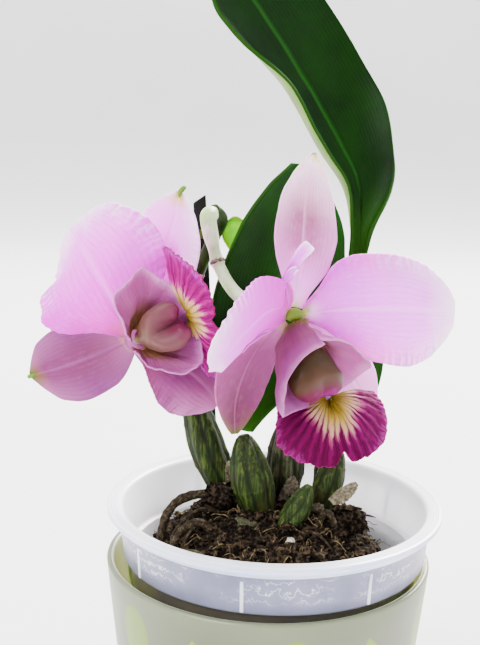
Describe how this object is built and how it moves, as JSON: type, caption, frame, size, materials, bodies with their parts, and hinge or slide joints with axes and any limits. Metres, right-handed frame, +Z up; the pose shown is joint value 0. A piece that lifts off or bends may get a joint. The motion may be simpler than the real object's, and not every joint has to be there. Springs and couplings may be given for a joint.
{
  "type": "potted cattleya orchid",
  "caption": "Potted cattleya orchid: ruffled pink blooms with magenta lips, strap leaves and furrowed pseudobulbs in a clear inner pot standing in a pale frosted cachepot.",
  "frame": {"origin": "centre of the cachepot's flat base, on the surface it stands on", "axes": "+Z up along the pots and the plant, -Y towards the side the blooms face"},
  "size_m": [0.1552, 0.1371, 0.3423],
  "materials": {
    "frosted_glass": "frosted, pale green-cream",
    "milky_polypropylene": "milky translucent, satin",
    "bark_and_fibre": "rough crumbled bark and fibre",
    "pseudobulb_skin": "furrowed green-brown skin, satin",
    "root_velamen": "matt grey-brown",
    "leaf_green": "leathery, satin gloss",
    "dry_sheath_tan": "dry and papery",
    "stem_green": "smooth, satin",
    "stake_green": "dark green, satin",
    "tie_olive": "olive, satin",
    "sepal_pink": "soft, velvety pale pink",
    "petal_pink": "soft, velvety pink",
    "lip_magenta": "magenta margin, yellow throat",
    "column_olive": "olive-brown, waxy"
  },
  "bodies": {
    "root": {"bract": "stem_green", "cachepot": "frosted_glass", "dry_sheath": "dry_sheath_tan", "flower_stem": "stem_green", "growing_medium": "bark_and_fibre", "inner_pot": "milky_polypropylene", "leaf_back": "leaf_green", "leaf_broad": "leaf_green", "leaf_tall": "leaf_green", "left_column": "column_olive", "left_dorsal_sepal": "sepal_pink", "left_lip": "lip_magenta", "left_petal_lower": "petal_pink", "left_petal_upper": "petal_pink", "left_sepal_lower": "sepal_pink", "left_sepal_upper": "sepal_pink", "plant_tie": "tie_olive", "pseudobulb_front": "pseudobulb_skin", "pseudobulb_left": "pseudobulb_skin", "pseudobulb_old": "pseudobulb_skin", "pseudobulb_right": "pseudobulb_skin", "pseudobulb_small": "pseudobulb_skin", "pseudobulb_tall": "pseudobulb_skin", "rhizome": "root_velamen", "right_column": "column_olive", "right_dorsal_sepal": "sepal_pink", "right_lip": "lip_magenta", "right_petal_left": "petal_pink", "right_petal_right": "petal_pink", "right_sepal_left": "sepal_pink", "right_sepal_right": "sepal_pink", "root_front_tip": "root_velamen", "root_left_arch": "root_velamen", "root_left_low": "root_velamen", "root_right_arch": "root_velamen", "stake": "stake_green"}
  },
  "joints": []
}
